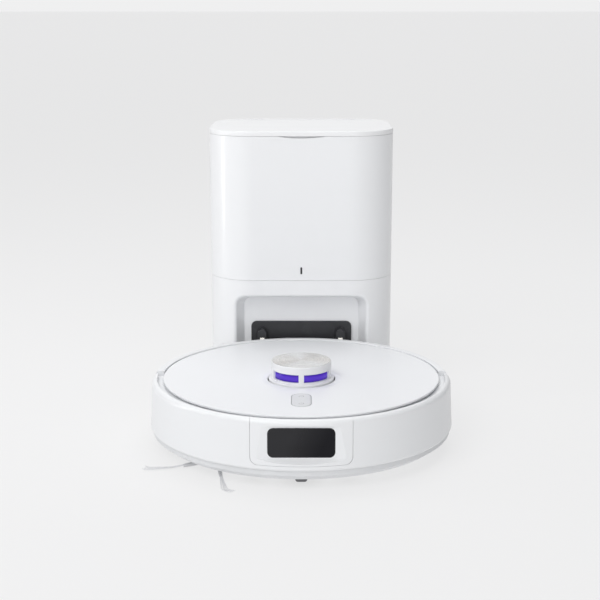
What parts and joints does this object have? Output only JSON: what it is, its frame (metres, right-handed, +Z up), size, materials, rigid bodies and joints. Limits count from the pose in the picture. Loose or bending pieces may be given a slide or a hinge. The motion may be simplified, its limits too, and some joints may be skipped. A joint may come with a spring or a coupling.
{
  "type": "robot vacuum",
  "caption": "Round robot vacuum with a laser turret, sprung bumper and side brush, parked in its self-emptying charging dock with a lift-up lid.",
  "frame": {"origin": "on the floor, at the centre of the dock's sole pad, under the middle of the dock's column", "axes": "+Z up; +Y from the robot towards the dock's back, so the robot's front looks along -Y; +X to the right when the front is looked at"},
  "size_m": [0.3522, 0.5376, 0.3453],
  "materials": {
    "white_gloss": "gloss",
    "button_white": "satin",
    "chassis_grey": "fine texture",
    "dock_foot_grey": "fine texture",
    "graphite": "satin",
    "window_black": "mirror gloss",
    "lens_housing": "gloss",
    "scanner_violet": "gloss, see-through tint",
    "cap_metal": "circular brushed",
    "nickel": "polished",
    "steel": "plated",
    "motor_can": "plated",
    "tread_rubber": "matte",
    "soft_rubber": "matte",
    "wheel_grey": "satin",
    "bristle_grey": "matte",
    "brush_hub_grey": "satin",
    "bin_smoke": "satin, smoked",
    "filter_white": "pleated paper",
    "inner_plastic": "satin",
    "battery_wrap": "shrink wrap",
    "circuit_board": "solder mask",
    "sensor_black": "gloss",
    "bag_fabric": "non-woven"
  },
  "bodies": {
    "dock": {"dock_base": "dock_foot_grey", "dock_lower_shell": "white_gloss", "dock_upper_shell": "white_gloss", "status_light": "graphite", "contact_plate": "graphite", "inlet_seal": "soft_rubber", "suction_duct": "inner_plastic", "dock_fan": "inner_plastic", "dust_bag": "bag_fabric", "dock_board": "circuit_board", "power_inlet": "graphite", "dock_feet": "soft_rubber", "dock_screws": "steel"},
    "lid": {"dock_lid": "white_gloss"},
    "contact_left": {"charge_contact_left": "nickel"},
    "contact_right": {"charge_contact_right": "nickel"},
    "dock_fan_wheel": {"dock_impeller": "inner_plastic"},
    "robot": {"chassis_base": "chassis_grey", "body_shell": "white_gloss", "front_camera": "lens_housing", "bumper_springs": "steel", "lidar_base": "graphite", "lidar_turret": "white_gloss", "lidar_cap": "cap_metal", "lidar_motor": "motor_can", "lidar_belt": "soft_rubber", "wheel_springs": "steel", "brush_guard": "chassis_grey", "brush_gearbox": "graphite", "side_brush_motor": "motor_can", "suction_fan": "inner_plastic", "battery_pack": "battery_wrap", "main_board": "circuit_board", "charge_strips": "nickel", "cliff_sensors": "sensor_black", "chassis_screws": "steel"},
    "bumper": {"bumper_shell": "white_gloss", "bumper_panel": "white_gloss", "sensor_window": "window_black"},
    "bin": {"dustbin": "bin_smoke", "dust_filter": "filter_white"},
    "cover": {"top_cover": "white_gloss"},
    "flap": {"outlet_flap": "graphite"},
    "home_button": {"home_button": "button_white"},
    "power_button": {"power_button": "button_white"},
    "scanner": {"lidar_head": "scanner_violet"},
    "scanner_pulley": {"lidar_pulley": "inner_plastic"},
    "wheel_arm_left": {"wheel_arm_left": "graphite"},
    "wheel_arm_right": {"wheel_arm_right": "graphite"},
    "wheel_left": {"wheel_hub_left": "wheel_grey", "tyre_left": "tread_rubber"},
    "wheel_right": {"wheel_hub_right": "wheel_grey", "tyre_right": "tread_rubber"},
    "caster": {"caster_fork": "graphite", "caster_axle": "steel"},
    "caster_wheel": {"caster_wheel": "wheel_grey"},
    "main_brush": {"main_brush": "soft_rubber"},
    "side_brush": {"side_brush_hub": "brush_hub_grey", "side_brush_bristles": "bristle_grey"},
    "fan_wheel": {"suction_impeller": "inner_plastic"}
  },
  "joints": [
    {"name": "undock_slide", "type": "slide", "parent": "dock", "child": "robot", "axis": [0, -1, 0], "range_m": [0, 0.4]},
    {"name": "dock_lid_hinge", "type": "hinge", "parent": "dock", "child": "lid", "pos_m": [0, 0.08, 0.3423], "axis": [-1, 0, 0], "range_deg": [0, 80]},
    {"name": "charge_contact_left_press", "type": "slide", "parent": "dock", "child": "contact_left", "axis": [0, 1, 0], "range_m": [0, 0.0025], "stiffness_N_per_m": 300, "springref_m": -0.001},
    {"name": "charge_contact_right_press", "type": "slide", "parent": "dock", "child": "contact_right", "axis": [0, 1, 0], "range_m": [0, 0.0025], "stiffness_N_per_m": 300, "springref_m": -0.001},
    {"name": "dock_fan_spin", "type": "hinge", "parent": "dock", "child": "dock_fan_wheel", "pos_m": [0.042, 0.044, 0.123], "axis": [0, 0, 1], "continuous": true},
    {"name": "dustbin_lift", "type": "slide", "parent": "robot", "child": "bin", "axis": [0, 0, 1], "range_m": [0, 0.12]},
    {"name": "cover_lift", "type": "slide", "parent": "bin", "child": "cover", "axis": [0, 0, 1], "range_m": [0, 0.15]},
    {"name": "bumper_press", "type": "slide", "parent": "robot", "child": "bumper", "axis": [0, 1, 0], "range_m": [0, 0.004], "stiffness_N_per_m": 400, "springref_m": -0.002, "deforming": ["bumper_springs"]},
    {"name": "home_button_press", "type": "slide", "parent": "robot", "child": "home_button", "axis": [0, 0, -1], "range_m": [0, 0.0008], "stiffness_N_per_m": 500, "springref_m": -0.001},
    {"name": "power_button_press", "type": "slide", "parent": "robot", "child": "power_button", "axis": [0, 0, -1], "range_m": [0, 0.0008], "stiffness_N_per_m": 500, "springref_m": -0.001},
    {"name": "scanner_spin", "type": "hinge", "parent": "robot", "child": "scanner", "pos_m": [0, -0.2718, 0.08], "axis": [0, 0, 1], "continuous": true},
    {"name": "scanner_pulley_spin", "type": "hinge", "parent": "robot", "child": "scanner_pulley", "pos_m": [0.038, -0.2598, 0.068], "axis": [0, 0, 1], "continuous": true},
    {"name": "wheel_drop_left", "type": "hinge", "parent": "robot", "child": "wheel_arm_left", "pos_m": [-0.099, -0.2135, 0.034], "axis": [1, 0, 0], "range_deg": [0, 22], "stiffness_Nm_per_rad": 0.5, "springref_deg": 34.38},
    {"name": "wheel_drop_right", "type": "hinge", "parent": "robot", "child": "wheel_arm_right", "pos_m": [0.099, -0.2135, 0.034], "axis": [1, 0, 0], "range_deg": [0, 22], "stiffness_Nm_per_rad": 0.5, "springref_deg": 34.38},
    {"name": "wheel_spin_left", "type": "hinge", "parent": "wheel_arm_left", "child": "wheel_left", "pos_m": [-0.119, -0.2595, 0.033], "axis": [1, 0, 0], "continuous": true},
    {"name": "wheel_spin_right", "type": "hinge", "parent": "wheel_arm_right", "child": "wheel_right", "pos_m": [0.119, -0.2595, 0.033], "axis": [1, 0, 0], "continuous": true},
    {"name": "caster_swivel", "type": "hinge", "parent": "robot", "child": "caster", "pos_m": [0, -0.3965, 0.03], "axis": [0, 0, 1], "continuous": true},
    {"name": "caster_roll", "type": "hinge", "parent": "caster", "child": "caster_wheel", "pos_m": [0, -0.4025, 0.013], "axis": [1, 0, 0], "continuous": true},
    {"name": "main_brush_spin", "type": "hinge", "parent": "robot", "child": "main_brush", "pos_m": [0, -0.2815, 0.019], "axis": [1, 0, 0], "continuous": true},
    {"name": "side_brush_spin", "type": "hinge", "parent": "robot", "child": "side_brush", "pos_m": [-0.09247, -0.35593, 0.007], "axis": [0, 0, 1], "continuous": true},
    {"name": "outlet_flap_hinge", "type": "hinge", "parent": "robot", "child": "flap", "pos_m": [0, -0.0957, 0.055], "axis": [1, 0, 0], "range_deg": [0, 60], "stiffness_Nm_per_rad": 0.002, "springref_deg": -5.73},
    {"name": "suction_fan_spin", "type": "hinge", "parent": "robot", "child": "fan_wheel", "pos_m": [0.0575, -0.229, 0.044], "axis": [0, 0, 1], "continuous": true}
  ],
  "couplings": [
    {"joint": "wheel_spin_left", "follows": "undock_slide", "rad_per_m": 30.303},
    {"joint": "wheel_spin_right", "follows": "undock_slide", "rad_per_m": 30.303},
    {"joint": "scanner_pulley_spin", "follows": "scanner_spin", "ratio": 4.6}
  ]
}
